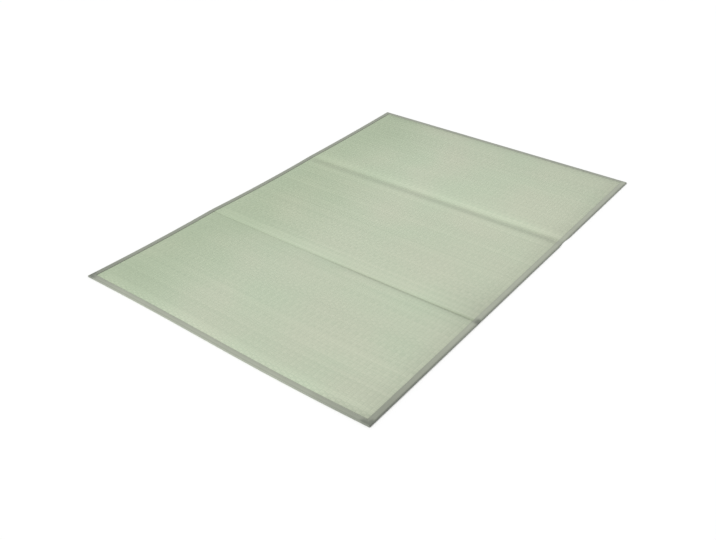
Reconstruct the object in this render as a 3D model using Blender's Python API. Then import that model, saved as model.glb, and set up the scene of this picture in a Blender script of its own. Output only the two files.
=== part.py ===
"""A rush floor mat in three panels, bound with cloth tape and lying open on the floor.

Metres, +Z up. The mat lies on z = 0 with the middle of its outline at the origin. X runs along
the short edges and the two folds, Y along the long edges, and the near short edge is at -Y.

Every piece is laid out on a true rectangle first, by its distances from the edges and the folds.
lie() then moves each point to where the real mat has it: the folds lie a little askew, the left
edge is drawn in along each panel, the near edge waves, and the mat slips sideways at the far fold.
"""

import math
from collections import namedtuple

import bmesh
import bpy
from mathutils import Vector

# The whole mat.
MAT_WIDTH = 1.200
MAT_LENGTH = 1.800
PANEL_LENGTH = MAT_LENGTH / 3

# The binding: a tape folded round the edge, as seen in section.
BINDING_FACE = 0.020
BINDING_HEIGHT = 0.008
NOSE_RADIUS = 0.003
NOSE_STEPS = 2
TAPE_THICKNESS = 0.001
SEAT_GAP = 0.0003

# The rush pad inside it. The swell is the pad's rise from the binding to the middle of a panel.
PAD_INSET = TAPE_THICKNESS + SEAT_GAP
SWELL = 0.0038
EDGE_SHOULDER = 0.045
REBATE_WIDTH = BINDING_FACE + SEAT_GAP
REBATE_SLOPE = 0.0005
SHOULDER_STEPS = 4
PANEL_MIDDLE_STEPS = 5
WIDTH_MIDDLE_STEPS = 8

# The folds. Each presses a channel across the mat, by its dip at the left and right ends. The
# panel before it sinks to it over one shoulder and the panel after it rises over another. Both
# change from their left sizes to their right ones between two shares of the mat's width. The
# near fold is a low step: the panel before it sinks over a long shoulder on the left and a short
# one on the right. The far fold is a broad, shallow trough with a low lip before it, and the mat
# slips along it. A lip begins at lip_end from the line and is twice LIP_REACH wide.
Fold = namedtuple(
    "Fold",
    "line half_width deepens_from deepens_to dip_left dip_right before_left before_right"
    " after_left after_right lip lip_end slip",
)
FOLDS = (
    Fold(
        line=-PANEL_LENGTH / 2,
        half_width=0.009,
        deepens_from=0.30,
        deepens_to=0.62,
        dip_left=0.0006,
        dip_right=0.0009,
        before_left=0.190,
        before_right=0.023,
        after_left=0.060,
        after_right=0.115,
        lip=0.0,
        lip_end=0.0,
        slip=0.0,
    ),
    Fold(
        line=PANEL_LENGTH / 2,
        half_width=0.048,
        deepens_from=0.10,
        deepens_to=1.00,
        dip_left=0.0021,
        dip_right=0.0048,
        before_left=0.042,
        before_right=0.047,
        after_left=0.095,
        after_right=0.170,
        lip=0.0008,
        lip_end=0.086,
        slip=-0.0030,
    ),
)
LIP_REACH = 0.034
CHANNEL_STEPS = 5
SHOULDER_STEPS_AT_FOLD = 3

# Where the lines across the mat lie, at their left and right ends. The bow and the wave move
# their middles along Y, and the pull draws their left ends in.
CrossLine = namedtuple("CrossLine", "left right bow wave pull")
CROSS_LINES = (
    CrossLine(left=-0.9000, right=-0.8910, bow=-0.0035, wave=0.0034, pull=0.0066),
    CrossLine(left=-0.3110, right=-0.3050, bow=-0.0035, wave=0.0, pull=0.0118),
    CrossLine(left=0.2940, right=0.3155, bow=0.0, wave=0.0, pull=0.0128),
    CrossLine(left=0.9000, right=0.9000, bow=0.0, wave=0.0, pull=0.0),
)

# How far the left edge of each panel is hollowed, from the near panel to the far one.
LEFT_HOLLOWS = (0.0056, 0.0062, 0.0030)

RUSH_COLOUR = (0.485, 0.546, 0.407, 1.0)
BINDING_COLOUR = (0.330, 0.355, 0.290, 1.0)
RUSH_ROUGHNESS = 0.62
BINDING_ROUGHNESS = 0.85
SHARP_ANGLE = math.radians(35)
WELD_DISTANCE = 0.00002

COLLECTION = "rush_mat"


def clear_scene():
    for thing in list(bpy.data.objects):
        bpy.data.objects.remove(thing, do_unlink=True)


def mix(start, end, share):
    return start + (end - start) * share


def material(name, colour, roughness):
    made = bpy.data.materials.new(name)
    made.use_nodes = True
    shader = made.node_tree.nodes["Principled BSDF"]
    shader.inputs["Base Color"].default_value = colour
    shader.inputs["Roughness"].default_value = roughness
    shader.inputs["Metallic"].default_value = 0.0
    return made


def bump_at(distance, reach):
    """1 on a line, falling in a soft curve to 0 at reach from it."""
    if abs(distance) >= reach:
        return 0.0
    return 0.5 + 0.5 * math.cos(math.pi * distance / reach)


def rise(distance, shoulder):
    """0 at a held edge, rising in a round shoulder to 1."""
    return math.sin(0.5 * math.pi * min(max(distance / shoulder, 0.0), 1.0))


def across_at(x):
    return x / MAT_WIDTH + 0.5


def deepening(fold, x):
    """0 along the left of a fold and 1 along its right, with a soft change between."""
    share = (across_at(x) - fold.deepens_from) / (fold.deepens_to - fold.deepens_from)
    share = min(max(share, 0.0), 1.0)
    return share * share * (3 - 2 * share)


def dip_at(x, y):
    return sum(
        mix(fold.dip_left, fold.dip_right, deepening(fold, x))
        * bump_at(y - fold.line, fold.half_width)
        for fold in FOLDS
    )


def slip_at(y):
    return sum(fold.slip * bump_at(y - fold.line, fold.half_width) for fold in FOLDS)


def arch(share):
    """0 at both ends of a span and 1 in its middle."""
    return 4 * share * (1 - share)


def line_place(line, across):
    waved = line.wave * math.sin(math.tau * across)
    return mix(line.left, line.right, across) + line.bow * arch(across) + waved


def lie(x, y, z):
    """The place on the real mat of a point of the true rectangle."""
    across = across_at(x)
    panels = (y + MAT_LENGTH / 2) / PANEL_LENGTH
    panel = min(max(int(panels), 0), len(CROSS_LINES) - 2)
    along = panels - panel
    near, far = CROSS_LINES[panel], CROSS_LINES[panel + 1]
    left_pull = mix(near.pull, far.pull, along) + LEFT_HOLLOWS[panel] * arch(along)
    lain_x = x + left_pull * (1 - across) + slip_at(y)
    lain_y = mix(line_place(near, across), line_place(far, across), along)
    return Vector((lain_x, lain_y, press(z, dip_at(x, y))))


def press(z, dip):
    """Lowers the upper side by dip and keeps the tape's thickness, above and below."""
    low = PAD_INSET
    high = BINDING_HEIGHT - PAD_INSET
    return z - dip * min(max((z - low) / (high - low), 0.0), 1.0)


def nose(inset):
    """The rounded outer edge, inset from the binding's face: (distance inward, drop) points."""
    radius = NOSE_RADIUS - inset
    turns = [0.5 * math.pi * step / NOSE_STEPS for step in range(NOSE_STEPS + 1)]
    return [
        (NOSE_RADIUS - radius * math.cos(turn), NOSE_RADIUS - radius * math.sin(turn))
        for turn in turns
    ]


def tape_section():
    """The folded tape in section, as (distance inward, height) points round its outline."""
    outer = nose(0.0)
    inner = nose(TAPE_THICKNESS)
    over = [(inward, BINDING_HEIGHT - drop) for inward, drop in outer]
    over += [(BINDING_FACE, BINDING_HEIGHT), (BINDING_FACE, BINDING_HEIGHT - TAPE_THICKNESS)]
    over += [(inward, BINDING_HEIGHT - drop) for inward, drop in reversed(inner)]
    under = [(inward, drop) for inward, drop in inner]
    under += [(BINDING_FACE, TAPE_THICKNESS), (BINDING_FACE, 0.0)]
    under += [(inward, drop) for inward, drop in reversed(outer)]
    return over + under


def edge_stations():
    """Distances from a bound edge to the end of its shoulder, for the pad's rows and columns."""
    under_tape = [inward for inward, _ in nose(PAD_INSET)]
    shoulder = [
        BINDING_FACE + EDGE_SHOULDER * step / SHOULDER_STEPS
        for step in range(1, SHOULDER_STEPS + 1)
    ]
    return under_tape + [REBATE_WIDTH, REBATE_WIDTH + REBATE_SLOPE] + shoulder


def between(start, end, steps):
    return [mix(start, end, step / steps) for step in range(1, steps)]


def fold_stations(half_width, end):
    """Distances from a fold line to the end of the shoulder or the lip beside it."""
    channel = [0.0] + between(0.0, half_width, CHANNEL_STEPS) + [half_width]
    return channel + between(half_width, end, SHOULDER_STEPS_AT_FOLD) + [end]


def columns():
    """The pad's lines along Y, as places along X."""
    left = [inward - MAT_WIDTH / 2 for inward in edge_stations()]
    right = [-x for x in reversed(left)]
    return left + between(left[-1], right[0], WIDTH_MIDDLE_STEPS) + right


def rows():
    """The pad's lines along X, as places along Y."""
    near = [inward - MAT_LENGTH / 2 for inward in edge_stations()]
    groups = [near]
    for fold in FOLDS:
        before_end = max(min(fold.before_left, fold.before_right), fold.lip_end)
        before = fold_stations(fold.half_width, before_end)
        after = fold_stations(fold.half_width, min(fold.after_left, fold.after_right))
        groups.append([fold.line - offset for offset in before[:0:-1]])
        groups[-1] += [fold.line + offset for offset in after]
    groups.append([-y for y in reversed(near)])
    places = list(groups[0])
    for group in groups[1:]:
        places += between(places[-1], group[0], PANEL_MIDDLE_STEPS) + group
    return places


def nose_drop(inward):
    """How far the pad's rounded edge lies below its top, at a distance from the mat's edge."""
    reach = max(NOSE_RADIUS - inward, 0.0)
    radius = NOSE_RADIUS - PAD_INSET
    return NOSE_RADIUS - math.sqrt(max(radius**2 - reach**2, 0.0)) if reach else PAD_INSET


def from_edges(x, y):
    return MAT_WIDTH / 2 - abs(x), MAT_LENGTH / 2 - abs(y)


def fold_rise(fold, x, y):
    """0 on a fold line, rising to 1 past the shoulders of the panels that meet there."""
    past = y - fold.line
    deeper = deepening(fold, x)
    if past > 0:
        return rise(past, mix(fold.after_left, fold.after_right, deeper))
    return rise(-past, mix(fold.before_left, fold.before_right, deeper))


def lip_at(y):
    """The low roll along the panel before a fold."""
    return sum(
        fold.lip * bump_at(y - fold.line + fold.lip_end - LIP_REACH, LIP_REACH)
        for fold in FOLDS
    )


def swell_at(x, y):
    """The pad's rise above the tape line: none at the binding and at the folds."""
    from_side, from_end = from_edges(x, y)
    held = rise(from_side - BINDING_FACE, EDGE_SHOULDER)
    held *= rise(from_end - BINDING_FACE, EDGE_SHOULDER)
    swell = SWELL * math.prod(fold_rise(fold, x, y) for fold in FOLDS)
    return held * (swell + lip_at(y))


def pad_top(x, y):
    inward = min(from_edges(x, y))
    return BINDING_HEIGHT - nose_drop(inward) + swell_at(x, y)


def pad_bottom(x, y):
    """On the floor, but for the rebate that the tape's underside lies in."""
    inward = min(from_edges(x, y))
    return nose_drop(inward) if inward < REBATE_WIDTH + REBATE_SLOPE / 2 else 0.0


def spread_grid(mesh, along_x, along_y):
    """A grid whose lines stand at the given places, on the true rectangle."""
    last_column = len(along_x) - 1
    last_row = len(along_y) - 1
    half = 0.5
    bmesh.ops.create_grid(mesh, x_segments=last_column, y_segments=last_row, size=half)
    for vertex in mesh.verts:
        column = round((vertex.co.x + half) * last_column)
        row = round((vertex.co.y + half) * last_row)
        vertex.co = (along_x[column], along_y[row], 0.0)


def finish_piece(name, mesh, finish, collection):
    bmesh.ops.recalc_face_normals(mesh, faces=mesh.faces)
    data = bpy.data.meshes.new(name)
    mesh.to_mesh(data)
    mesh.free()
    data.shade_smooth()
    data.set_sharp_from_angle(angle=SHARP_ANGLE)
    data.materials.append(finish)
    piece = bpy.data.objects.new(name, data)
    collection.objects.link(piece)
    return piece


def make_pad(finish, collection):
    """The rush pad: one piece over all three panels, with a channel pressed in at each fold."""
    mesh = bmesh.new()
    spread_grid(mesh, columns(), rows())
    lifted = bmesh.ops.extrude_face_region(mesh, geom=mesh.faces[:])["geom"]
    top = {element for element in lifted if isinstance(element, bmesh.types.BMVert)}
    for vertex in mesh.verts:
        x, y, _ = vertex.co
        height = pad_top(x, y) if vertex in top else pad_bottom(x, y)
        vertex.co = lie(x, y, height)
    on_floor = [face for face in mesh.faces if not any(corner.co.z for corner in face.verts)]
    bmesh.ops.dissolve_faces(mesh, faces=on_floor)
    return finish_piece("rush_pad", mesh, finish, collection)


def to_mitre(along, inward, half_length):
    """Fans the lines across a strip out to its ends, which are cut to the corner's diagonal."""
    clear = half_length - REBATE_WIDTH - REBATE_SLOPE / 2
    if abs(along) <= clear:
        return along
    cut = half_length - inward - SEAT_GAP / math.sqrt(2)
    fanned = mix(clear, cut, (abs(along) - clear) / (half_length - clear))
    return math.copysign(fanned, along)


def make_strip(name, inside, half_length, to_mat, finish, collection):
    """One binding strip: the folded tape drawn along an edge and mitred at both ends."""
    clear = half_length - REBATE_WIDTH - REBATE_SLOPE / 2
    stations = [place for place in inside if abs(place) < clear]
    outline = tape_section()
    outline.append(outline[0])
    mesh = bmesh.new()
    spread_grid(mesh, range(len(outline)), [-half_length, *stations, half_length])
    for vertex in mesh.verts:
        inward, height = outline[round(vertex.co.x)]
        along = to_mitre(vertex.co.y, inward, half_length)
        vertex.co = lie(*to_mat(inward, along), height)
    bmesh.ops.remove_doubles(mesh, verts=mesh.verts, dist=WELD_DISTANCE)
    bmesh.ops.holes_fill(mesh, edges=mesh.edges)
    return finish_piece(name, mesh, finish, collection)


def make_binding(finish, collection):
    """Four strips of tape, one for each edge."""
    half_width = MAT_WIDTH / 2
    half_length = MAT_LENGTH / 2
    edges = (
        ("binding_near", columns(), half_width, lambda inward, x: (x, inward - half_length)),
        ("binding_far", columns(), half_width, lambda inward, x: (x, half_length - inward)),
        ("binding_left", rows(), half_length, lambda inward, y: (inward - half_width, y)),
        ("binding_right", rows(), half_length, lambda inward, y: (half_width - inward, y)),
    )
    for name, inside, reach, to_mat in edges:
        make_strip(name, inside, reach, to_mat, finish, collection)


def main():
    clear_scene()
    collection = bpy.data.collections.new(COLLECTION)
    bpy.context.scene.collection.children.link(collection)
    rush = material("rush", RUSH_COLOUR, RUSH_ROUGHNESS)
    binding = material("binding_cloth", BINDING_COLOUR, BINDING_ROUGHNESS)
    make_pad(rush, collection)
    make_binding(binding, collection)


main()
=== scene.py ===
"""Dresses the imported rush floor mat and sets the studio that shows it.

Metres, +Z up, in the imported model's frame: X runs along the folds, Y along the long edges, and
the near short edge is at -Y. Every piece is laid out on a true rectangle, as the mat was cut,
and lie() then moves its points to where the mat really has them.
"""

import math
from collections import namedtuple

import bmesh
import bpy
from bpy.props import FloatProperty, FloatVectorProperty, PointerProperty
from bpy.types import Operator, Panel, PropertyGroup
from mathutils import Matrix, Vector, noise


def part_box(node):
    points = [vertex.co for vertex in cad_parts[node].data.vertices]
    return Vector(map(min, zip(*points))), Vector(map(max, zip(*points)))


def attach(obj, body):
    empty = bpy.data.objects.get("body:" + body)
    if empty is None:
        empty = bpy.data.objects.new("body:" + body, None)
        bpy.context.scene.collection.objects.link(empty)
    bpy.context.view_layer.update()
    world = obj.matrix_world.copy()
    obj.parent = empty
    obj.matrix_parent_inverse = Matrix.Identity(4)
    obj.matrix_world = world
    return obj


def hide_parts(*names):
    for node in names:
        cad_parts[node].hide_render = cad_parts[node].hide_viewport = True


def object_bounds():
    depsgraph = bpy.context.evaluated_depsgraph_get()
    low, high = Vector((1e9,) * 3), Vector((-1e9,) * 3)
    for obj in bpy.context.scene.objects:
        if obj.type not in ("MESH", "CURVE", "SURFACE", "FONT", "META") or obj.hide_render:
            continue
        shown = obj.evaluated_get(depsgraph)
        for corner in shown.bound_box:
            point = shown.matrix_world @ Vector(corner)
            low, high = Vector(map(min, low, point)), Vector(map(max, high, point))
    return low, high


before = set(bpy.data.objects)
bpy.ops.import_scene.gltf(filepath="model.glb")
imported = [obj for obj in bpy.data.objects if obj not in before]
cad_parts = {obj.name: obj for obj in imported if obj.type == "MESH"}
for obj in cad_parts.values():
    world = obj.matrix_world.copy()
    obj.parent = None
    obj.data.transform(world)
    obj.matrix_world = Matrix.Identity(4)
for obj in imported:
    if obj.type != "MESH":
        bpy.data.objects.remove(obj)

bl_info = {
    "name": "Rush Floor Mat",
    "version": (1, 0, 0),
    "blender": (4, 5, 0),
    "location": "View3D > Sidebar > Rush Mat",
    "description": "Models a folding rush floor mat: its weave, binding, stitching and studio",
    "category": "Add Mesh",
}

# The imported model's sizes.
CAD_LOW, CAD_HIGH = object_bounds()
MAT_WIDTH = CAD_HIGH.x - CAD_LOW.x
MAT_LENGTH = CAD_HIGH.y - CAD_LOW.y
PANEL_LENGTH = MAT_LENGTH / 3
BINDING_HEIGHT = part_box("binding_near")[1].z
BODY = "root"

# The binding in section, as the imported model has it.
BINDING_FACE = 0.020
NOSE_RADIUS = 0.003
TAPE_THICKNESS = 0.001
SEAT_GAP = 0.0003
MITRE_GAP = 0.0001
PAD_INSET = TAPE_THICKNESS + SEAT_GAP
REBATE_WIDTH = BINDING_FACE + SEAT_GAP
REBATE_SLOPE = 0.0005

# The rush pad's swell, from the tape line to the middle of a panel.
SWELL = 0.0038
EDGE_SHOULDER = 0.045

# The folds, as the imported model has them. Each presses a channel across the mat, by its dip at
# the left and right ends. The panel before it sinks to it over one shoulder and the panel after
# it rises over another. All these change from their left sizes to their right ones between two
# shares of the mat's width. A lip is a low roll, 2 * LIP_REACH wide, whose far side lies lip_end
# before the line. A slip moves the fold along X, so that the sides jog there.
Fold = namedtuple(
    "Fold",
    "line half_width deepens_from deepens_to dip_left dip_right before_left before_right"
    " after_left after_right lip lip_end slip",
)
NEAR_FOLD = Fold(
    line=-PANEL_LENGTH / 2,
    half_width=0.009,
    deepens_from=0.30,
    deepens_to=0.62,
    dip_left=0.0006,
    dip_right=0.0009,
    before_left=0.190,
    before_right=0.023,
    after_left=0.060,
    after_right=0.115,
    lip=0.0,
    lip_end=0.0,
    slip=0.0,
)
FAR_FOLD = Fold(
    line=PANEL_LENGTH / 2,
    half_width=0.048,
    deepens_from=0.10,
    deepens_to=1.00,
    dip_left=0.0021,
    dip_right=0.0048,
    before_left=0.042,
    before_right=0.047,
    after_left=0.095,
    after_right=0.170,
    lip=0.0008,
    lip_end=0.086,
    slip=-0.0030,
)
FOLDS = (NEAR_FOLD, FAR_FOLD)
LIP_REACH = 0.034

# Where the lines across the mat lie, at their left and right ends. The bow and the wave move
# their middles along Y, and the pull draws their left ends in.
CrossLine = namedtuple("CrossLine", "left right bow wave pull")
CROSS_LINES = (
    CrossLine(left=-0.9000, right=-0.8910, bow=-0.0035, wave=0.0034, pull=0.0066),
    CrossLine(left=-0.3110, right=-0.3050, bow=-0.0035, wave=0.0, pull=0.0118),
    CrossLine(left=0.2940, right=0.3155, bow=0.0, wave=0.0, pull=0.0128),
    CrossLine(left=0.9000, right=0.9000, bow=0.0, wave=0.0, pull=0.0),
)

# How far the left edge of each panel is hollowed, from the near panel to the far one.
LEFT_HOLLOWS = (0.0056, 0.0062, 0.0030)

# How finely each piece is modelled.
RIB_STEPS = 6
NOSE_STEPS = 5
PAD_NOSE_STEPS = 2
INNER_NOSE_STEPS = 1
FACE_STEPS = 6
HEM_STEPS = 3
SHOULDER_STEPS = 8
CHANNEL_STEPS = 8
ROW_SPACING = 0.026
SHOULDER_SPACING = 0.004
STITCH_STEPS = 3
STITCH_SIDES = 6
STITCH_RINGS = 5
WELD_DISTANCE = 0.00001
SHARP_ANGLE = math.radians(50)
LAY_MAP = "lay"

# The photograph's camera. The shift is in widths of the picture.
CAMERA_TARGET = Vector((0.0358, -0.3569, 0.0))
CAMERA_DISTANCE = 2.8706
CAMERA_AZIMUTH = math.radians(38.6954)
CAMERA_ELEVATION = math.radians(33.6542)
CAMERA_ROLL = math.radians(-0.4105)
CAMERA_LENS = 41.48
CAMERA_SENSOR = 36.0
CAMERA_SHIFT_X = 0.0406
CAMERA_SHIFT_Y = 0.0009

FLOOR_SIZE = 30.0


class WeaveSettings(PropertyGroup):
    """The woven rush."""

    rib_pitch: FloatProperty(
        name="Rib pitch",
        description="Distance from one warp to the next",
        default=0.0145,
        min=0.005,
        max=0.040,
        unit="LENGTH",
    )
    rib_height: FloatProperty(
        name="Rib height",
        description="How far the rush stands up between two warps",
        default=0.0005,
        min=0.0,
        max=0.002,
        unit="LENGTH",
    )
    stem_width: FloatProperty(
        name="Stem width",
        description="Width of one rush stem",
        default=0.0012,
        min=0.0005,
        max=0.004,
        unit="LENGTH",
    )
    stem_relief: FloatProperty(
        name="Stem relief",
        description="How deep the gaps between stems look",
        default=0.00035,
        min=0.0,
        max=0.002,
        unit="LENGTH",
    )
    sag: FloatProperty(
        name="Unevenness",
        description="How far the pad's top lies above and below its even height",
        default=0.0004,
        min=0.0,
        max=0.003,
        unit="LENGTH",
    )
    green: FloatVectorProperty(
        name="Green rush",
        description="Colour of the greener stems",
        default=(0.405, 0.482, 0.342),
        subtype="COLOR",
        min=0.0,
        max=1.0,
    )
    buff: FloatVectorProperty(
        name="Buff rush",
        description="Colour of the drier stems",
        default=(0.438, 0.494, 0.356),
        subtype="COLOR",
        min=0.0,
        max=1.0,
    )
    # Painted light: the two paler colours below are blended in towards the right of the mat and
    # stand for the brighter light falling there.
    lit_green: FloatVectorProperty(
        name="Brighter green rush",
        description="Colour of the greener stems where light has brightened them",
        default=(0.476, 0.552, 0.412),
        subtype="COLOR",
        min=0.0,
        max=1.0,
    )
    lit_buff: FloatVectorProperty(
        name="Brighter buff rush",
        description="Colour of the drier stems where light has brightened them",
        default=(0.512, 0.550, 0.425),
        subtype="COLOR",
        min=0.0,
        max=1.0,
    )
    # Partly painted shade: this darker colour, laid along the folds, stands both for pressed stems
    # and for the shade in each fold's channel.
    kinked_and_shaded: FloatVectorProperty(
        name="Kinked rush",
        description="Colour of the stems pressed into a fold",
        default=(0.300, 0.345, 0.235),
        subtype="COLOR",
        min=0.0,
        max=1.0,
    )


class BindingSettings(PropertyGroup):
    """The cloth tape round the edge and the thread that holds it."""

    crown: FloatProperty(
        name="Crown",
        description="How far the tape swells between the edge and its stitches",
        default=0.0003,
        min=0.0,
        max=0.002,
        unit="LENGTH",
    )
    ruffle: FloatProperty(
        name="Ruffle",
        description="How far the tape's inner edge wanders",
        default=0.0006,
        min=0.0,
        max=0.003,
        unit="LENGTH",
    )
    stitch_inset: FloatProperty(
        name="Stitch inset",
        description="Distance from the tape's inner edge to its stitches",
        default=0.0025,
        min=0.001,
        max=0.006,
        unit="LENGTH",
    )
    stitch_pitch: FloatProperty(
        name="Stitch pitch",
        description="Distance from one stitch to the next",
        default=0.0050,
        min=0.002,
        max=0.012,
        unit="LENGTH",
    )
    stitch_length: FloatProperty(
        name="Stitch length",
        description="Length of thread that shows in one stitch",
        default=0.0037,
        min=0.001,
        max=0.010,
        unit="LENGTH",
    )
    stitch_sink: FloatProperty(
        name="Stitch sink",
        description="How far the stitches draw the tape down",
        default=0.00035,
        min=0.0,
        max=0.001,
        unit="LENGTH",
    )
    thread_width: FloatProperty(
        name="Thread width",
        description="Width of the sewing thread",
        default=0.0008,
        min=0.0002,
        max=0.002,
        unit="LENGTH",
    )
    yarn_pitch: FloatProperty(
        name="Yarn pitch",
        description="Distance from one yarn of the tape's weave to the next",
        default=0.0007,
        min=0.0002,
        max=0.003,
        unit="LENGTH",
    )
    cloth: FloatVectorProperty(
        name="Tape",
        description="Colour of the binding cloth",
        default=(0.350, 0.374, 0.304),
        subtype="COLOR",
        min=0.0,
        max=1.0,
    )
    # Dirt and painted shade: this dark colour is blended into the tape round its outer edge, where
    # it crosses the near fold, all over the far and left edges as painted shade, and towards the
    # near corners.
    dusty_shaded: FloatVectorProperty(
        name="Darkened tape",
        description="Colour of the cloth round the outer edge, which gathers dust",
        default=(0.165, 0.178, 0.148),
        subtype="COLOR",
        min=0.0,
        max=1.0,
    )
    thread: FloatVectorProperty(
        name="Thread",
        description="Colour of the thread that holds the tape",
        default=(0.405, 0.425, 0.360),
        subtype="COLOR",
        min=0.0,
        max=1.0,
    )
    fold_thread: FloatVectorProperty(
        name="Fold thread",
        description="Colour of the thread sewn along the folds",
        default=(0.400, 0.450, 0.320),
        subtype="COLOR",
        min=0.0,
        max=1.0,
    )


class StudioSettings(PropertyGroup):
    """The floor and lights."""

    key_strength: FloatProperty(
        name="Key light",
        description="Strength of the light from the near end",
        default=3.2,
        min=0.0,
        max=20.0,
    )
    key_elevation: FloatProperty(
        name="Key height",
        description="Angle of the key light above the floor",
        default=math.radians(38),
        subtype="ANGLE",
    )
    key_azimuth: FloatProperty(
        name="Key direction",
        description="Angle of the key light round from the near end towards the right",
        default=math.radians(-8),
        subtype="ANGLE",
    )
    key_softness: FloatProperty(
        name="Key softness",
        description="Angle over which the key light is spread",
        default=math.radians(28),
        subtype="ANGLE",
    )
    sky_strength: FloatProperty(
        name="Sky",
        description="Strength of the even light all round",
        default=0.50,
        min=0.0,
        max=5.0,
    )
    floor: FloatVectorProperty(
        name="Floor",
        description="Colour of the floor",
        default=(0.90, 0.90, 0.90),
        subtype="COLOR",
        min=0.0,
        max=1.0,
    )


# Laying out: from the true rectangle to the mat as it lies.


def mix(start, end, share):
    return start + (end - start) * share


def clamp(value, low, high):
    return min(max(value, low), high)


def bump_at(distance, reach):
    """1 on a line, falling in a soft curve to 0 at reach from it."""
    if abs(distance) >= reach:
        return 0.0
    return 0.5 + 0.5 * math.cos(math.pi * distance / reach)


def rise(distance, shoulder):
    """0 at a held edge, rising in a round shoulder to 1."""
    return math.sin(0.5 * math.pi * clamp(distance / shoulder, 0.0, 1.0))


def across_at(x):
    """How far across the mat x is: 0 at the left edge, 1 at the right."""
    return x / MAT_WIDTH + 0.5


def deepening(fold, x):
    """0 along the left of a fold and 1 along its right, with a soft change between."""
    share = (across_at(x) - fold.deepens_from) / (fold.deepens_to - fold.deepens_from)
    share = clamp(share, 0.0, 1.0)
    return share * share * (3 - 2 * share)


def dip_at(x, y):
    return sum(
        mix(fold.dip_left, fold.dip_right, deepening(fold, x))
        * bump_at(y - fold.line, fold.half_width)
        for fold in FOLDS
    )


def slip_at(y):
    return sum(fold.slip * bump_at(y - fold.line, fold.half_width) for fold in FOLDS)


def arch(share):
    """0 at both ends of a span and 1 in its middle."""
    return 4 * share * (1 - share)


def line_place(line, across):
    waved = line.wave * math.sin(math.tau * across)
    return mix(line.left, line.right, across) + line.bow * arch(across) + waved


def press(z, dip):
    """Lowers the upper side by dip and keeps the tape's thickness, above and below."""
    low = PAD_INSET
    high = BINDING_HEIGHT - PAD_INSET
    return z - dip * clamp((z - low) / (high - low), 0.0, 1.0)


def lie(x, y, z):
    """The place on the real mat of a point of the true rectangle."""
    across = across_at(x)
    panels = (y + MAT_LENGTH / 2) / PANEL_LENGTH
    panel = clamp(int(panels), 0, len(CROSS_LINES) - 2)
    along = panels - panel
    near, far = CROSS_LINES[panel], CROSS_LINES[panel + 1]
    left_pull = mix(near.pull, far.pull, along) + LEFT_HOLLOWS[panel] * arch(along)
    lain_x = x + left_pull * (1 - across) + slip_at(y)
    lain_y = mix(line_place(near, across), line_place(far, across), along)
    return Vector((lain_x, lain_y, press(z, dip_at(x, y))))


def wander(place, wavelength, seed):
    """A smooth, uneven number between -1 and 1 that drifts along the place given."""
    return noise.noise(Vector(place) / wavelength + Vector((seed, seed, seed)))


def from_edges(x, y):
    return MAT_WIDTH / 2 - abs(x), MAT_LENGTH / 2 - abs(y)


def fold_rise(fold, x, y):
    """0 on a fold line, rising to 1 past the shoulders of the panels that meet there."""
    past = y - fold.line
    deeper = deepening(fold, x)
    if past > 0:
        return rise(past, mix(fold.after_left, fold.after_right, deeper))
    return rise(-past, mix(fold.before_left, fold.before_right, deeper))


def lip_at(y):
    """The low roll along the panel before a fold."""
    return sum(
        fold.lip * bump_at(y - fold.line + fold.lip_end - LIP_REACH, LIP_REACH)
        for fold in FOLDS
    )


def edge_rise(x, y):
    """0 at the binding, rising to 1 past the pad's shoulder."""
    return math.prod(rise(inward - BINDING_FACE, EDGE_SHOULDER) for inward in from_edges(x, y))


def held_at(x, y):
    """How freely the pad swells: 0 at the binding and the folds, 1 in the middle of a panel."""
    return edge_rise(x, y) * math.prod(fold_rise(fold, x, y) for fold in FOLDS)


def nose(inset, steps):
    """The rounded outer edge, inset from the binding's face: (distance inward, drop) points."""
    radius = NOSE_RADIUS - inset
    turns = [0.5 * math.pi * step / steps for step in range(steps + 1)]
    return [
        (NOSE_RADIUS - radius * math.cos(turn), NOSE_RADIUS - radius * math.sin(turn))
        for turn in turns
    ]


def nose_drop(inward):
    """How far the pad's rounded edge lies below its top, at a distance from the mat's edge."""
    reach = max(NOSE_RADIUS - inward, 0.0)
    radius = NOSE_RADIUS - PAD_INSET
    return NOSE_RADIUS - math.sqrt(max(radius**2 - reach**2, 0.0)) if reach else PAD_INSET


# Building blocks for the meshes.


def spread_grid(mesh, along_x, along_y, map_place):
    """A grid whose lines stand at the given places, with map_place(x, y) as its map, in metres."""
    last_column = len(along_x) - 1
    last_row = len(along_y) - 1
    half = 0.5
    bmesh.ops.create_grid(mesh, x_segments=last_column, y_segments=last_row, size=half)
    for vertex in mesh.verts:
        column = round((vertex.co.x + half) * last_column)
        row = round((vertex.co.y + half) * last_row)
        vertex.co = (along_x[column], along_y[row], 0.0)
    lay = mesh.loops.layers.uv.new(LAY_MAP)
    for face in mesh.faces:
        for corner in face.loops:
            along, across = map_place(corner.vert.co.x, corner.vert.co.y)
            corner[lay].uv = (along / MAT_LENGTH + 0.5, across / MAT_LENGTH + 0.5)


def finish_mesh(name, mesh, finish):
    """Makes the mesh a smooth-shaded object at the origin, with its finish."""
    data = bpy.data.meshes.new(name)
    mesh.to_mesh(data)
    mesh.free()
    data.shade_smooth()
    data.set_sharp_from_angle(angle=SHARP_ANGLE)
    data.materials.append(finish)
    piece = bpy.data.objects.new(name, data)
    bpy.context.scene.collection.objects.link(piece)
    return piece


def even_stations(start, end, spacing):
    """Places from start to end, no further apart than the spacing."""
    steps = math.ceil((end - start) / spacing)
    return [mix(start, end, step / steps) for step in range(steps + 1)]


# The woven rush pad.

# How full a rib is between its warps, and the share of its height that lies below the pad's even
# surface.
RIB_FULLNESS = 2.5
RIB_SUNK = 0.6

# The pad's uneven surface: the length of its waves and the share by which they lie low.
SAG_WAVELENGTH = 0.16
SAG_SUNK = 0.2
SAG_SEED = 3.0


def rib_at(x, weave):
    """The rush's rise between two warps: 0 at a warp, 1 midway."""
    in_rib = (x / weave.rib_pitch) % 1.0
    return 1.0 - abs(2.0 * in_rib - 1.0) ** RIB_FULLNESS


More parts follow.
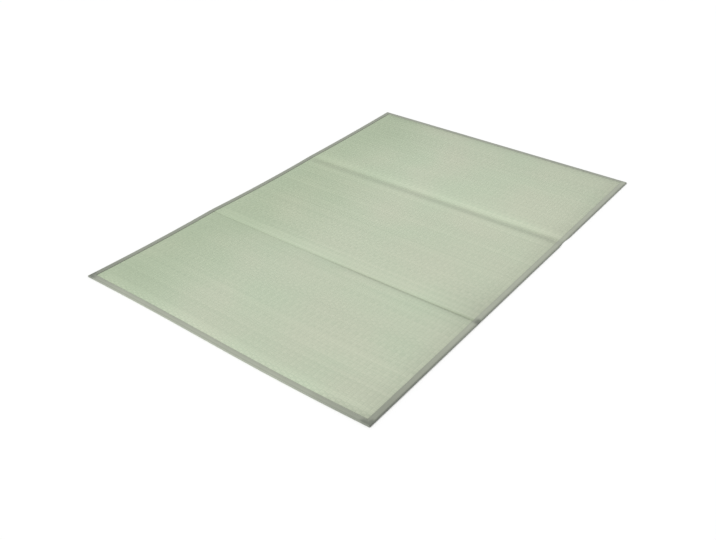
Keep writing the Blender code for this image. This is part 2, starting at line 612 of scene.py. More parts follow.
def rush_top(x, y, weave):
    """The rush's upper surface. The ribs fade out where the tape covers them."""
    inward = min(from_edges(x, y))
    held = held_at(x, y)
    shown = rise(inward - BINDING_FACE / 2, BINDING_FACE / 2)
    ribs = weave.rib_height * (rib_at(x, weave) - RIB_SUNK) * shown
    waves = wander((x, y, 0.0), SAG_WAVELENGTH, SAG_SEED)
    uneven = weave.sag * held * (waves - SAG_SUNK)
    swell = SWELL * held + lip_at(y) * edge_rise(x, y)
    return BINDING_HEIGHT - nose_drop(inward) + swell + ribs + uneven


def rush_bottom(x, y):
    """On the floor, but for the rebate that the tape's underside lies in."""
    inward = min(from_edges(x, y))
    return nose_drop(inward) if inward < REBATE_WIDTH + REBATE_SLOPE / 2 else 0.0


def under_tape():
    """Distances from the mat's edge of the pad's lines beneath the tape."""
    rounded = [inward for inward, _ in nose(PAD_INSET, PAD_NOSE_STEPS)]
    return rounded + [BINDING_FACE / 2, REBATE_WIDTH, REBATE_WIDTH + REBATE_SLOPE]


def rush_columns(weave):
    """The pad's lines along Y: a few under the tape, then some to every rib."""
    left = [inward - MAT_WIDTH / 2 for inward in under_tape()]
    step = weave.rib_pitch / RIB_STEPS
    last = math.floor(-left[-1] / step - 0.5)
    ribs = [step * count for count in range(-last, last + 1)]
    return left + ribs + [-x for x in reversed(left)]


def fold_rows(fold):
    """Lines along a fold, closest in its channel and at the foot of its shoulders."""
    channel = [fold.half_width * step / CHANNEL_STEPS for step in range(CHANNEL_STEPS + 1)]
    before_end = max(min(fold.before_left, fold.before_right), fold.lip_end)
    short_after = min(fold.after_left, fold.after_right)
    before = even_stations(fold.half_width, before_end, SHOULDER_SPACING)[1:]
    after = even_stations(fold.half_width, short_after, SHOULDER_SPACING)[1:]
    near_side = [fold.line - offset for offset in reversed(channel[1:] + before)]
    return near_side + [fold.line + offset for offset in channel + after]


def rush_rows():
    """The pad's lines along X, closest at the binding and the folds."""
    hidden = under_tape()
    shoulder_end = BINDING_FACE + EDGE_SHOULDER
    shoulder = even_stations(hidden[-1], shoulder_end, EDGE_SHOULDER / SHOULDER_STEPS)
    near = [inward - MAT_LENGTH / 2 for inward in hidden + shoulder[1:]]
    places = list(near)
    for group in (fold_rows(NEAR_FOLD), fold_rows(FAR_FOLD), [-y for y in reversed(near)]):
        places += even_stations(places[-1], group[0], ROW_SPACING)[1:-1] + group
    return places


def make_rush(weave):
    """The whole pad: a ribbed, padded sheet of rush with a channel pressed in at each fold."""
    mesh = bmesh.new()
    spread_grid(mesh, rush_columns(weave), rush_rows(), lambda x, y: (x, y))
    lifted = bmesh.ops.extrude_face_region(mesh, geom=mesh.faces[:])["geom"]
    top = {element for element in lifted if isinstance(element, bmesh.types.BMVert)}
    for vertex in mesh.verts:
        x, y, _ = vertex.co
        height = rush_top(x, y, weave) if vertex in top else rush_bottom(x, y)
        vertex.co = lie(x, y, height)
    on_floor = [face for face in mesh.faces if not any(corner.co.z for corner in face.verts)]
    bmesh.ops.dissolve_faces(mesh, faces=on_floor)
    bmesh.ops.recalc_face_normals(mesh, faces=mesh.faces)
    return finish_mesh("woven_rush", mesh, rush_finish(weave))


# The cloth binding.

# The four edges. The three numbers after the half length say how much darker the tape is: all
# over, as painted shade, strongest on the far and left edges; round its outer edge, partly dirt
# and partly painted shade; and where it crosses the near fold, partly dirt and partly painted
# shade of the creased tape. to_mat turns a distance inward and a place along the edge into X and
# Y.
Edge = namedtuple("Edge", "side half_length soil rim crease to_mat")
EDGES = (
    Edge(
        side="near",
        half_length=MAT_WIDTH / 2,
        soil=0.0,
        rim=0.42,
        crease=0.0,
        to_mat=lambda inward, x: (x, inward - MAT_LENGTH / 2),
    ),
    Edge(
        side="far",
        half_length=MAT_WIDTH / 2,
        soil=0.46,
        rim=0.55,
        crease=0.0,
        to_mat=lambda inward, x: (x, MAT_LENGTH / 2 - inward),
    ),
    Edge(
        side="left",
        half_length=MAT_LENGTH / 2,
        soil=0.48,
        rim=0.62,
        crease=0.0,
        to_mat=lambda inward, y: (inward - MAT_WIDTH / 2, y),
    ),
    Edge(
        side="right",
        half_length=MAT_LENGTH / 2,
        soil=0.05,
        rim=0.42,
        crease=1.0,
        to_mat=lambda inward, y: (MAT_WIDTH / 2 - inward, y),
    ),
)

# The tape's crown: its place as a share of the way to the stitches, its reach to each side, and
# how much it varies along the tape.
CROWN_PLACE = 0.55
CROWN_REACH = 0.007
CROWN_CHANGE = 0.6
CROWN_WAVELENGTH = 0.035

# The dent that the stitches draw in, with the share of it that is left between two stitches.
DENT_REACH = 0.003
DENT_BETWEEN = 0.55

# How the tape's inner edge wanders, in long waves and short ones, and how fast this dies away
# towards the outer edge.
RUFFLE_WAVELENGTH = 0.060
RUFFLE_SEED = 5
FRAY_WAVELENGTH = 0.011
FRAY_SHARE = 0.35
RUFFLE_FALL = 4


def stitch_line(binding):
    """The distance of the tape's stitches from the mat's edge."""
    return BINDING_FACE - binding.stitch_inset


def tape_section(binding):
    """The folded tape in section, as (distance inward, height) points round its outline."""
    top = BINDING_HEIGHT
    stitches = stitch_line(binding)
    hem_radius = TAPE_THICKNESS / 2
    hem_turns = [math.pi * step / HEM_STEPS for step in range(HEM_STEPS + 1)]
    hem = [
        (BINDING_FACE - hem_radius + hem_radius * math.sin(turn), hem_radius * math.cos(turn))
        for turn in hem_turns
    ]
    outer = nose(0.0, NOSE_STEPS)
    inner = nose(TAPE_THICKNESS, INNER_NOSE_STEPS)
    face = even_stations(NOSE_RADIUS, stitches, (stitches - NOSE_RADIUS) / FACE_STEPS)[1:]
    over = [(inward, top - drop) for inward, drop in outer]
    over += [(inward, top) for inward in face]
    over += [(inward, top - hem_radius + rise_by) for inward, rise_by in hem]
    over += [(inward, top - drop) for inward, drop in reversed(inner)]
    under = list(inner)
    under += [(inward, hem_radius + rise_by) for inward, rise_by in hem]
    under += [(stitches, binding.stitch_sink), (stitches - binding.stitch_inset / 2, 0.0)]
    under += [(inward, drop) for inward, drop in reversed(outer)]
    return over + under


def section_lengths(outline):
    """The distance round the tape to each point of its outline."""
    lengths = [0.0]
    for start, end in zip(outline, outline[1:]):
        lengths.append(lengths[-1] + math.dist(start, end))
    return lengths


def ruffle_tape(inward, height, along, seed, binding):
    """Swells the tape's top between the edge and the stitches, and lets its inner edge wander."""
    if height < BINDING_HEIGHT / 2:
        return inward, height
    stitches = stitch_line(binding)
    place = (along, 0.0, 0.0)
    crown_line = mix(NOSE_RADIUS, stitches, CROWN_PLACE)
    crown = binding.crown * bump_at(inward - crown_line, CROWN_REACH)
    crown *= 1 + CROWN_CHANGE * wander(place, CROWN_WAVELENGTH, seed)
    beat = 0.5 + 0.5 * math.cos(math.tau * along / binding.stitch_pitch)
    sink = binding.stitch_sink * mix(DENT_BETWEEN, 1.0, beat)
    sink *= bump_at(inward - stitches, DENT_REACH)
    drift = wander(place, RUFFLE_WAVELENGTH, seed + RUFFLE_SEED)
    drift += FRAY_SHARE * wander(place, FRAY_WAVELENGTH, seed)
    drift *= clamp(inward / BINDING_FACE, 0.0, 1.0) ** RUFFLE_FALL
    return inward + binding.ruffle * drift, height + crown - sink


def to_mitre(along, inward, half_length):
    """Fans the lines across a strip out to its ends, which are cut to the corner's diagonal."""
    clear = half_length - REBATE_WIDTH - REBATE_SLOPE / 2
    if abs(along) <= clear:
        return along
    cut = half_length - inward - MITRE_GAP / math.sqrt(2)
    fanned = mix(clear, cut, (abs(along) - clear) / (half_length - clear))
    return math.copysign(fanned, along)


def make_tape(edge, seed, binding, finish):
    """One binding strip: the folded tape drawn along an edge and mitred at both ends."""
    outline = tape_section(binding)
    outline.append(outline[0])
    lengths = section_lengths(outline)
    step = binding.stitch_pitch / STITCH_STEPS
    count = math.ceil(edge.half_length / step)
    stations = even_stations(-edge.half_length, edge.half_length, edge.half_length / count)

    def on_cloth(column, y):
        point = round(column)
        return to_mitre(y, outline[point][0], edge.half_length), lengths[point]

    mesh = bmesh.new()
    spread_grid(mesh, range(len(outline)), stations, on_cloth)
    for vertex in mesh.verts:
        along = vertex.co.y
        inward, height = outline[round(vertex.co.x)]
        inward, height = ruffle_tape(inward, height, along, seed, binding)
        along = to_mitre(along, inward, edge.half_length)
        vertex.co = lie(*edge.to_mat(inward, along), height)
    bmesh.ops.remove_doubles(mesh, verts=mesh.verts, dist=WELD_DISTANCE)
    bmesh.ops.holes_fill(mesh, edges=mesh.edges)
    bmesh.ops.recalc_face_normals(mesh, faces=mesh.faces)
    return finish_mesh(f"tape_{edge.side}", mesh, finish)


# Stitches.

FOLD_STITCHES = ("fold_stitches_near", "fold_stitches_far")


def one_stitch(length, width):
    """A stitch lying along X: a short, rounded length of thread."""
    mesh = bmesh.new()
    size = Matrix.Diagonal((length / 2, width / 2, width / 2, 1.0))
    bmesh.ops.create_uvsphere(
        mesh,
        u_segments=STITCH_SIDES,
        v_segments=STITCH_RINGS,
        radius=1.0,
        matrix=size @ Matrix.Rotation(math.pi / 2, 4, "Y"),
    )
    data = bpy.data.meshes.new("one_stitch")
    mesh.to_mesh(data)
    mesh.free()
    return data


def sew(name, runs, binding, finish):
    """Joined stitches, one on each run, which is a pair of places on the surface."""
    stitch = one_stitch(binding.stitch_length, binding.thread_width)
    row = bmesh.new()
    for start, end in runs:
        along = (end - start).normalized()
        turn = along.to_track_quat("X", "Z").to_matrix().to_4x4()
        placed = stitch.copy()
        placed.transform(Matrix.Translation((start + end) / 2) @ turn)
        row.from_mesh(placed)
        bpy.data.meshes.remove(placed)
    bpy.data.meshes.remove(stitch)
    return finish_mesh(name, row, finish)


def stitch_places(half_length, pitch):
    """The middles of the stitches in a row, centred between its two ends."""
    count = math.floor(2 * half_length / pitch)
    return [(step - (count - 1) / 2) * pitch for step in range(count)]


def tape_runs(edge, seed, binding):
    """Where each stitch in one tape lies, on its upper face and on its underside."""
    stitches = stitch_line(binding)
    half_stitch = binding.stitch_length / 2
    quarter = binding.thread_width / 4
    runs = []
    for middle in stitch_places(edge.half_length - BINDING_FACE, binding.stitch_pitch):
        inward, height = ruffle_tape(stitches, BINDING_HEIGHT, middle, seed, binding)
        ends = (middle - half_stitch, middle + half_stitch)
        runs.append([lie(*edge.to_mat(inward, along), height + quarter) for along in ends])
        runs.append([lie(*edge.to_mat(stitches, along), 2 * quarter) for along in ends])
    return runs


def fold_runs(fold, weave, binding):
    """Where each stitch along the bottom of a fold lies."""
    half_stitch = binding.stitch_length / 2
    quarter = binding.thread_width / 4
    runs = []
    for middle in stitch_places(MAT_WIDTH / 2 - BINDING_FACE, binding.stitch_pitch):
        height = rush_top(middle, fold.line, weave) + quarter
        runs.append([lie(middle + way * half_stitch, fold.line, height) for way in (-1, 1)])
    return runs


# Finishes.

# Soft noise: its cycles a metre along X and along Y, or along a tape and round it, and how much
# finer noise is laid over it.
Grain = namedtuple("Grain", "along_x along_y detail")
STEM_DRIFT_GRAIN = Grain(along_x=9.0, along_y=30.0, detail=2.0)
PATCH_GRAIN = Grain(along_x=3.5, along_y=4.0, detail=1.0)
STREAK_GRAIN = Grain(along_x=1.3, along_y=160.0, detail=2.0)
FIBRE_GRAIN = Grain(along_x=900.0, along_y=900.0, detail=2.0)
SLUB_GRAIN = Grain(along_x=60.0, along_y=900.0, detail=2.0)
MOTTLE_GRAIN = Grain(along_x=14.0, along_y=30.0, detail=3.0)
FUZZ_GRAIN = Grain(along_x=700.0, along_y=700.0, detail=2.0)
FLOOR_GRAIN = Grain(along_x=2.0, along_y=2.0, detail=2.0)

# An area of the mat, and how strongly it changes a finish. It sets in along X from x_clear to
# x_full. Along Y it lies to both sides of a line, whole to y_full from it and gone at y_clear.
# What a row leaves out takes in the whole mat.
Area = namedtuple(
    "Area",
    "strength x_clear x_full line y_full y_clear",
    defaults=(-MAT_WIDTH, -MAT_WIDTH / 2, 0.0, MAT_LENGTH / 2, MAT_LENGTH),
)

# The rush. How far the stems stray from even rows, in pairs of stems.
STEM_DRIFT = 1.6

# How dry the stems look: what makes them drier, the span over which that tells, and how much
# single stems vary.
DRY_IN_PATCHES = 0.52
DRY_IN_STREAKS = 0.16
DRY_TO_RIGHT = 0.18
DRYNESS_SPAN = (0.12, 0.56)
STEM_DRYNESS = 0.35

# Where the rush is painted paler and lighter, as painted light falling brighter towards the right:
# it sets in along X, unevenly, and further to the right on the middle panel.
LIT_SPAN = (-0.60, -0.10)
LIT_PATCHES = 0.15
LESS_LIT_MIDDLE = Area(0.10, line=0.0, y_full=0.18, y_clear=0.42)

# The pressed stems along a fold, with painted shade in its channel: how far from its line they
# reach, how dark they are all along it and how much darker where it deepens and by the right
# edge, which is mostly painted shade, and each fold's share of this.
KINK_REACH = 0.010
KINKS_AND_SHADE_ALL_ALONG = 0.02
KINKS_AND_SHADE_WHERE_DEEP = 0.22
KINKS_AND_SHADE_AT_RIGHT = Area(0.42, x_clear=0.34, x_full=0.60)
KINK_AND_SHADE_SHARES = (1.0, 0.2)

# Where the rush is painted darker as painted shade: towards the far end, over the right side,
# most at and near the folds and beside the right tape, and along the near edge on the right.
PAINTED_SHADE_AREAS = (
    Area(0.055, line=0.90, y_full=0.12, y_clear=0.48),
    Area(0.025, x_clear=0.34, x_full=0.60),
    Area(0.050, x_clear=0.34, x_full=0.60, line=-0.30, y_full=0.02, y_clear=0.16),
    Area(0.050, x_clear=0.34, x_full=0.60, line=0.30, y_full=0.02, y_clear=0.16),
    Area(0.050, x_clear=0.34, x_full=0.60, line=-0.21, y_full=0.06, y_clear=0.14),
    Area(0.045, x_clear=0.50, x_full=0.575),
    Area(0.130, x_clear=0.36, x_full=0.50, line=-0.90, y_full=0.028, y_clear=0.050),
)

# The rush's brightness and roughness, and what stems, streaks and warps add or take away. The
# darker line at each warp is partly painted shade in the groove there.
RUSH_TONE = 0.93
STEM_TONE = 0.10
STREAK_TONE = 0.06
WARP_SHADE = 0.16
WARP_SPAN = (0.88, 1.0)
RUSH_ROUGHNESS = 0.52
STEM_ROUGHNESS = 0.16
WARP_ROUGHNESS = 0.10

# Dirt and painted shade on the tape: the distances from the mat's side, or from a fold line,
# over which they thin.
RIM_SPAN = (0.003, 0.009)
OUTER_SPAN = (0.006, 0.018)
CREASE_SPAN = (0.004, 0.024)

# How dark the tape is where it crosses the near fold, partly dirt and partly painted shade, and
# how much darker the near corners' tips are, on the tape's inner half and its outer half.
CREASE_DUST_AND_SHADE = (0.55, 1.10)
TIP_DARKENING = (0.70, 1.10)
DARKER_TIPS = Area(1.0, x_clear=0.545, x_full=0.580, line=-0.90, y_full=0.022, y_clear=0.058)

# How far the tape darkens from the two near corners, and how much this adds at most.
RIGHT_CORNER = Area(1.0, x_clear=0.25, x_full=0.60, line=-0.90, y_full=0.0, y_clear=0.60)
LEFT_CORNER = Area(0.45, x_clear=-0.38, x_full=-0.60, line=-0.90, y_full=0.0, y_clear=0.25)
CORNER_DARKENING = 0.45

# The tape's brightness, relief and roughness, by its fibres, slubs, mottling and yarns.
CLOTH_TONE = 0.80
FIBRE_TONE = 0.16
SLUB_TONE = 0.10
MOTTLE_TONE = 0.14
YARN_TONE = 0.05
CLOTH_RELIEF = 0.00012
YARN_RELIEF = 0.4
SLUB_RELIEF = 0.3
CLOTH_ROUGHNESS = 0.86
FIBRE_ROUGHNESS = 0.10

# The thread, by its plies and its fuzz.
THREAD_TONE = 0.90
PLY_TONE = 0.08
FUZZ_TONE = 0.16
THREAD_RELIEF = 0.00003
THREAD_ROUGHNESS = 0.7
FUZZ_ROUGHNESS = 0.1

# The floor's brightness and roughness, and how much its clouds change them.
FLOOR_TONE = 0.995
FLOOR_CLOUDS = 0.01
FLOOR_ROUGHNESS = 0.9
FLOOR_DULLING = 0.02


def rgba(colour):
    """A colour as a colour socket holds it."""
    return (*colour, 1.0)


def joined(operation):
    """A method that adds a Math node, with its own value first."""

    def method(self, *others):
        return self.finish.add("Math", {"operation": operation}, dict(enumerate((self, *others))))

    return method


def reflected(operation):
    """A method that adds a Math node, with its own value second."""

    def method(self, other):
        return self.finish.add("Math", {"operation": operation}, {0: other, 1: self})

    return method


class Value:
    """One output of a shader node. Python's operators join it to others with Math nodes."""

    def __init__(self, finish, socket):
        self.finish = finish
        self.socket = socket

    __add__ = joined("ADD")
    __radd__ = reflected("ADD")
    __sub__ = joined("SUBTRACT")
    __rsub__ = reflected("SUBTRACT")
    __mul__ = joined("MULTIPLY")
    __rmul__ = reflected("MULTIPLY")
    __truediv__ = joined("DIVIDE")
    __rtruediv__ = reflected("DIVIDE")
    __pow__ = joined("POWER")
    __rpow__ = reflected("POWER")
    __abs__ = joined("ABSOLUTE")
    floor = joined("FLOOR")
    fraction = joined("FRACT")
    sine = joined("SINE")
    least = joined("MINIMUM")
    most = joined("MAXIMUM")

    def output(self, name):
        return Value(self.finish, self.socket.node.outputs[name])


class Finish:
    """A material, built one node at a time."""

    def __init__(self, name):
        self.material = bpy.data.materials.new(name)
        self.material.use_nodes = True
        self.tree = self.material.node_tree
        self.tree.nodes.clear()

    def add(self, kind, settings, values):
        """Adds a node: its settings first, then the values or links of its sockets."""
        node = self.tree.nodes.new("ShaderNode" + kind)
        for name, setting in settings.items():
            setattr(node, name, setting)
        sockets = [socket for socket in node.inputs if socket.enabled]
        names = {socket.name: socket for socket in reversed(sockets)}
        for key, value in values.items():
            socket = names[key] if isinstance(key, str) else sockets[key]
            if isinstance(value, Value):
                self.tree.links.new(value.socket, socket)
            else:
                socket.default_value = value
        shown = [socket for socket in node.outputs if socket.enabled]
        return Value(self, shown[0]) if shown else None

    def laid_place(self):
        """The place on the true rectangle, in metres, or along and round a tape."""
        lay = self.add("UVMap", {"uv_map": LAY_MAP}, {})
        split = self.add("SeparateXYZ", {}, {0: lay})
        return [(split.output(axis) - 0.5) * MAT_LENGTH for axis in "XY"]

    def real_place(self):
        """The place on the mat as it lies, in metres."""
        place = self.add("TexCoord", {}, {}).output("Object")
        split = self.add("SeparateXYZ", {}, {0: place})
        return [split.output(axis) for axis in "XY"]

    def cloud(self, x, y, grain):
        """Soft noise about 0.5, with the grain given."""
        scaled = {"X": x * grain.along_x, "Y": y * grain.along_y}
        place = self.add("CombineXYZ", {}, scaled)
        values = {"Vector": place, "Scale": 1.0, "Detail": grain.detail}
        return self.add("TexNoise", {"noise_dimensions": "2D"}, values)

    def chance(self, number):
        """An even random value from 0 to 1 for each number."""
        return self.add("TexWhiteNoise", {"noise_dimensions": "1D"}, {"W": number})

    def blend(self, share, start, end):
        """The start colour at a share of 0 and the end colour at 1."""
        settings = {"data_type": "RGBA"}
        return self.add("Mix", settings, {"Factor": share, "A": start, "B": end})

    def shade(self, colour, tone):
        """The colour, made darker or lighter by the tone."""
        return self.add("VectorMath", {"operation": "SCALE"}, {"Vector": colour, "Scale": tone})

    def smooth_step(self, value, start, end):
        """0 before start, 1 past end and a soft curve between."""
        settings = {"interpolation_type": "SMOOTHSTEP"}
        return self.add("MapRange", settings, {"Value": value, "From Min": start, "From Max": end})

    def area(self, x, y, area):
        """The strength of an area in it, falling softly to 0 round it."""
        inside = self.smooth_step(x, area.x_clear, area.x_full)
        beside = self.smooth_step(abs(y - area.line), area.y_full, area.y_clear)
        return area.strength * inside * (1 - beside)

    def bump(self, relief, depth):
        """The surface's tilt where a relief of 1 stands up by the depth given."""
        return self.add("Bump", {}, {"Strength": 1.0, "Distance": depth, "Height": relief})

    def close(self, values):
        """Ends the material in a Principled shader with the values given."""
        surface = self.add("BsdfPrincipled", {}, values)
        self.add("OutputMaterial", {}, {"Surface": surface})
        return self.material


def stem_pattern(finish, x, y, weave):
    """Stems along X, each passing over every second rib, so that they lock like bricks.

    Returns a number for each stem, the place across its rib, which is 0 midway and 1 at a warp,
    and the stem's rounded relief.
    """
    rib = x / weave.rib_pitch
    odd = (rib.floor() * 0.5).fraction() * 2
    drift = finish.cloud(x, y, STEM_DRIFT_GRAIN) * STEM_DRIFT
    stem = y / (2 * weave.stem_width) + odd * 0.5 + drift
    stem_number = stem.floor() * 2 + odd
    across_rib = abs(rib.fraction() * 2 - 1)
    across_stem = abs(stem.fraction() * 2 - 1)
    relief = ((1 - across_rib**4) * (1 - across_stem**2)) ** 0.5
    return stem_number, across_rib, relief


def rush_colour(finish, x, y, streaks, stem_chance, weave):
    """Greener and drier stems, painted paler and lighter towards the right as painted light, and
    darker along the folds, where the stems are pressed and painted shade lies in the channels.
    """
    patches = finish.cloud(x, y, PATCH_GRAIN)
    drier = DRY_IN_PATCHES * patches + DRY_IN_STREAKS * streaks + DRY_TO_RIGHT * x
    dryness = finish.smooth_step(drier, *DRYNESS_SPAN) + STEM_DRYNESS * (stem_chance - 0.5)
    # Painted light: the paler colours, blended in towards the right, stand for brighter light
    # there.
    less_lit = finish.blend(dryness, rgba(weave.green), rgba(weave.buff))
    more_lit = finish.blend(dryness, rgba(weave.lit_green), rgba(weave.lit_buff))
    lit = x + LIT_PATCHES * (patches - 0.5) - finish.area(x, y, LESS_LIT_MIDDLE)
    colour = finish.blend(finish.smooth_step(lit, *LIT_SPAN), less_lit, more_lit)
    # Darker along each fold: partly pressed stems, partly painted shade in the channel, deepest
    # where the channel is deepest and towards the right.
    at_right = finish.area(x, y, KINKS_AND_SHADE_AT_RIGHT)
    for fold, share in zip(FOLDS, KINK_AND_SHADE_SHARES):
        deeper = finish.smooth_step(across_at(x), fold.deepens_from, fold.deepens_to)
        kinked_and_shaded = share * (KINKS_AND_SHADE_ALL_ALONG + KINKS_AND_SHADE_WHERE_DEEP * deeper + at_right)
        kinks_and_shade = (1 - abs(y - fold.line) / KINK_REACH).most(0.0) * kinked_and_shaded
        colour = finish.blend(kinks_and_shade, colour, rgba(weave.kinked_and_shaded))
    return colour


def rush_finish(weave):
    """Woven rush stems, with painted shade over parts of the mat and a darker line at each warp,
    partly the warp and partly painted shade in its groove.
    """
    finish = Finish("woven_rush")
    x, y = finish.laid_place()
    stem_number, across_rib, relief = stem_pattern(finish, x, y, weave)
    stem_chance = finish.chance(stem_number)
    streaks = finish.cloud(x, y, STREAK_GRAIN)
    colour = rush_colour(finish, x, y, streaks, stem_chance, weave)
    # Painted shade: the rush is painted darker over these areas.
    painted_shade = sum(finish.area(x, y, area) for area in PAINTED_SHADE_AREAS)
    tone = RUSH_TONE + STEM_TONE * stem_chance + STREAK_TONE * (streaks - 0.5) - painted_shade
    # Darker at each warp: partly the warp, partly painted shade in the groove between ribs.
    warp = finish.smooth_step(across_rib, *WARP_SPAN)
    stem_sheen = finish.chance(stem_number + 0.5)
    values = {
        "Base Color": finish.shade(colour, tone * (1 - WARP_SHADE * warp)),
        "Roughness": RUSH_ROUGHNESS + STEM_ROUGHNESS * stem_sheen + WARP_ROUGHNESS * warp,
        "Specular IOR Level": 0.35,
        "Normal": finish.bump(relief, weave.stem_relief),
    }
    return finish.close(values)


def tape_dust_and_shade(finish, along, round_tape, binding, edge):
    """How much darker the tape is: partly dirt and partly painted shade round the outer edge and
    where it crosses the near fold, painted shade over each edge, most on the far and left ones,
    and darker towards the near corners.
    """
    x, y = finish.real_place()
    from_side = round_tape.least(section_lengths(tape_section(binding))[-1] - round_tape)
    from_crease = abs(along - NEAR_FOLD.line)
    outer = 1 - finish.smooth_step(from_side, *OUTER_SPAN)
    # Darker towards the two near corners.
    corner = finish.area(x, y, RIGHT_CORNER).most(finish.area(x, y, LEFT_CORNER)) * CORNER_DARKENING
    # Darker round the outer edge: partly dirt, partly painted shade, most on the far and left
    # edges.
    rim = (1 - finish.smooth_step(from_side, *RIM_SPAN)) * (edge.rim + corner)
    # Darker where the tape crosses the near fold: partly dirt, partly the painted shade of the
    # creased tape.
    at_crease = edge.crease * (1 - finish.smooth_step(from_crease, *CREASE_SPAN))
    crease = at_crease * mix(*CREASE_DUST_AND_SHADE, outer)
    # Darker at the tips of the near corners.
    tip = finish.area(abs(x), y, DARKER_TIPS) * mix(*TIP_DARKENING, outer)
    # Painted shade all over each tape, strongest on the far and left edges; darker still towards
    # the near corners.
    return rim.most(edge.soil + corner).most(crease).most(tip)


def tape_finish(binding, edge):
    """A plain cotton weave, darkened partly by dirt and partly by painted shade."""
    finish = Finish(f"binding_cloth_{edge.side}")
    along, round_tape = finish.laid_place()
    turn = math.tau / (2 * binding.yarn_pitch)
    yarns = (along * turn).sine() * (round_tape * turn).sine()
    fibres = finish.cloud(along, round_tape, FIBRE_GRAIN)
    slubs = finish.cloud(along, round_tape, SLUB_GRAIN)
    mottling = finish.cloud(along, round_tape, MOTTLE_GRAIN)
    dust_and_shade = tape_dust_and_shade(finish, along, round_tape, binding, edge)
    # The dark colour blended in here stands for dirt and painted shade together.
    colour = finish.blend(dust_and_shade, rgba(binding.cloth), rgba(binding.dusty_shaded))
    tone = CLOTH_TONE + FIBRE_TONE * fibres + SLUB_TONE * slubs + MOTTLE_TONE * mottling
    relief = 0.5 + YARN_RELIEF * yarns + SLUB_RELIEF * (slubs - 0.5)
    values = {
        "Base Color": finish.shade(colour, tone + YARN_TONE * yarns),
        "Roughness": CLOTH_ROUGHNESS + FIBRE_ROUGHNESS * (fibres - 0.5),
        "Specular IOR Level": 0.2,
        "Sheen Weight": 0.15,
        "Normal": finish.bump(relief, CLOTH_RELIEF),
    }
    return finish.close(values)


def thread_finish(name, colour, binding):
    """Sewing thread: its plies twist round it."""
    finish = Finish(name)
    x, y = finish.real_place()
    plies = ((x + y) * (math.tau / binding.thread_width)).sine()
    fuzz = finish.cloud(x, y, FUZZ_GRAIN)
    tone = THREAD_TONE + PLY_TONE * plies + FUZZ_TONE * (fuzz - 0.5)
    values = {
        "Base Color": finish.shade(tuple(colour), tone),
        "Roughness": THREAD_ROUGHNESS + FUZZ_ROUGHNESS * fuzz,
        "Specular IOR Level": 0.3,
        "Normal": finish.bump(plies, THREAD_RELIEF),
    }
    return finish.close(values)


def floor_finish(studio):
    """A plain pale floor, faintly uneven in tone."""
    finish = Finish("pale_floor")
    clouds = finish.cloud(*finish.real_place(), FLOOR_GRAIN)
    values = {
        "Base Color": finish.shade(tuple(studio.floor), FLOOR_TONE + FLOOR_CLOUDS * clouds),
        "Roughness": FLOOR_ROUGHNESS + FLOOR_DULLING * clouds,
        "Specular IOR Level": 0.0,
    }
    return finish.close(values)


# The studio.


def make_floor(studio):
    mesh = bmesh.new()
    bmesh.ops.create_grid(mesh, x_segments=1, y_segments=1, size=FLOOR_SIZE / 2)
    floor = finish_mesh("studio_floor", mesh, floor_finish(studio))


def make_sky(studio):
    """Even white light all round, and a plain white background past the floor."""
    sky = bpy.data.worlds.new("studio_sky")
    sky.use_nodes = True
    nodes = sky.node_tree.nodes
    strength = nodes.new("ShaderNodeMapRange")
    strength.inputs["To Min"].default_value = studio.sky_strength
    strength.inputs["To Max"].default_value = 1.0
    background = nodes["Background"]
    background.inputs["Color"].default_value = (1.0, 1.0, 1.0, 1.0)
    seen = nodes.new("ShaderNodeLightPath").outputs["Is Camera Ray"]
    sky.node_tree.links.new(seen, strength.inputs["Value"])
    sky.node_tree.links.new(strength.outputs["Result"], background.inputs["Strength"])
    return sky


def make_lights(studio):
    """A soft key light from the near end, and an even sky."""
    sun = bpy.data.lights.new("key_light", "SUN")
    sun.energy = studio.key_strength
    sun.angle = studio.key_softness
    key = bpy.data.objects.new("key_light", sun)
    key.rotation_euler = (math.pi / 2 - studio.key_elevation, 0.0, studio.key_azimuth)
    bpy.context.scene.collection.objects.link(key)
    bpy.context.scene.world = make_sky(studio)


def make_camera():
    """The camera at the photograph's place."""
    lens = bpy.data.cameras.new("camera")
    lens.lens = CAMERA_LENS
    lens.sensor_width = CAMERA_SENSOR
    lens.shift_x = CAMERA_SHIFT_X
    lens.shift_y = CAMERA_SHIFT_Y
    camera = bpy.data.objects.new("camera", lens)
    turn = (
        Matrix.Rotation(CAMERA_AZIMUTH, 4, "Z")
        @ Matrix.Rotation(math.pi / 2 - CAMERA_ELEVATION, 4, "X")
        @ Matrix.Rotation(CAMERA_ROLL, 4, "Z")
    )
    back = Matrix.Translation((0.0, 0.0, CAMERA_DISTANCE))
    camera.matrix_world = Matrix.Translation(CAMERA_TARGET) @ turn @ back
    bpy.context.scene.collection.objects.link(camera)
    bpy.context.scene.camera = camera


def settle(piece):
    """Rides the piece on the mat's one body."""
    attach(piece, BODY)


class RUSHMAT_OT_fold_stitches(Operator):
    """Sews a row of stitches along the bottom of each fold"""

    bl_idname = "rushmat.fold_stitches"
    bl_label = "Fold Stitches"

    def execute(self, context):
        weave = context.scene.rushmat_weave
        binding = context.scene.rushmat_binding
        finish = thread_finish("fold_thread", binding.fold_thread, binding)
        for name, fold in zip(FOLD_STITCHES, FOLDS):
            settle(sew(name, fold_runs(fold, weave, binding), binding, finish))
        return {"FINISHED"}


class RUSHMAT_OT_rush(Operator):
    """Weaves the ribbed rush pad, with its swell and fold channels"""

    bl_idname = "rushmat.rush"
    bl_label = "Woven Rush"

    def execute(self, context):
        rush = make_rush(context.scene.rushmat_weave)
        settle(rush)
        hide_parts("rush_pad")
        return {"FINISHED"}


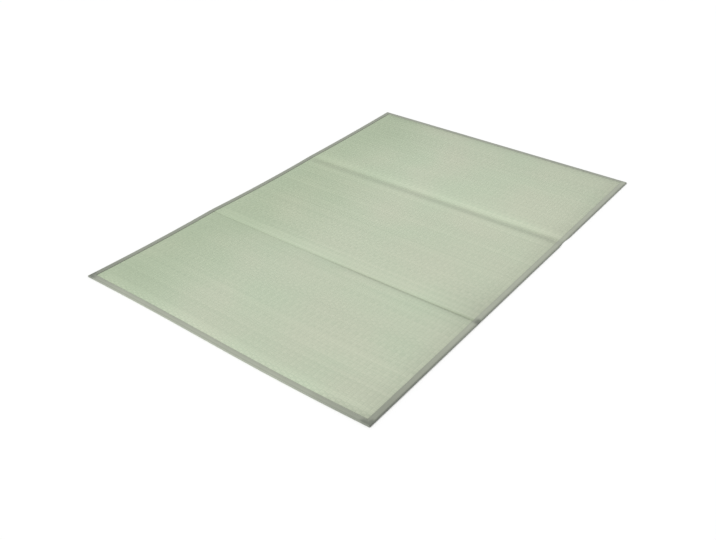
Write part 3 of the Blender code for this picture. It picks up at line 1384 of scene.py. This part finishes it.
class RUSHMAT_OT_binding(Operator):
    """Folds the cloth tape round each edge and sews it down"""

    bl_idname = "rushmat.binding"
    bl_label = "Cloth Binding"

    def execute(self, context):
        binding = context.scene.rushmat_binding
        thread = thread_finish("binding_thread", binding.thread, binding)
        for seed, edge in enumerate(EDGES):
            runs = tape_runs(edge, seed, binding)
            stitches = sew(f"stitches_{edge.side}", runs, binding, thread)
            tape = make_tape(edge, seed, binding, tape_finish(binding, edge))
            settle(stitches)
            settle(tape)
            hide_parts(f"binding_{edge.side}")
        return {"FINISHED"}


class RUSHMAT_OT_studio(Operator):
    """Sets the pale floor, the soft lights and the camera"""

    bl_idname = "rushmat.studio"
    bl_label = "Studio"

    def execute(self, context):
        studio = context.scene.rushmat_studio
        make_floor(studio)
        make_lights(studio)
        make_camera()
        context.scene.view_settings.view_transform = "Standard"
        return {"FINISHED"}


class RUSHMAT_PT_sidebar(Panel):
    """Lists the mat's pieces and their settings"""

    bl_label = "Rush Mat"
    bl_idname = "RUSHMAT_PT_sidebar"
    bl_space_type = "VIEW_3D"
    bl_region_type = "UI"
    bl_category = "Rush Mat"

    def draw(self, context):
        layout = self.layout
        for settings, operators in PANEL_ROWS:
            box = layout.box()
            group = getattr(context.scene, settings)
            for name in group.bl_rna.properties.keys():
                if name not in ("rna_type", "name"):
                    box.prop(group, name)
            for operator in operators:
                box.operator(operator.bl_idname)


SETTINGS = {
    "rushmat_weave": WeaveSettings,
    "rushmat_binding": BindingSettings,
    "rushmat_studio": StudioSettings,
}
PANEL_ROWS = (
    ("rushmat_weave", (RUSHMAT_OT_fold_stitches, RUSHMAT_OT_rush)),
    ("rushmat_binding", (RUSHMAT_OT_binding,)),
    ("rushmat_studio", (RUSHMAT_OT_studio,)),
)
CLASSES = (
    *SETTINGS.values(),
    RUSHMAT_OT_fold_stitches,
    RUSHMAT_OT_rush,
    RUSHMAT_OT_binding,
    RUSHMAT_OT_studio,
    RUSHMAT_PT_sidebar,
)


def register():
    for kind in CLASSES:
        bpy.utils.register_class(kind)
    for name, kind in SETTINGS.items():
        setattr(bpy.types.Scene, name, PointerProperty(type=kind))


def unregister():
    for name in SETTINGS:
        delattr(bpy.types.Scene, name)
    for kind in reversed(CLASSES):
        bpy.utils.unregister_class(kind)


def main():
    register()
    bpy.ops.rushmat.fold_stitches()
    bpy.ops.rushmat.rush()
    bpy.ops.rushmat.binding()
    bpy.ops.rushmat.studio()


if __name__ == "__main__":
    main()
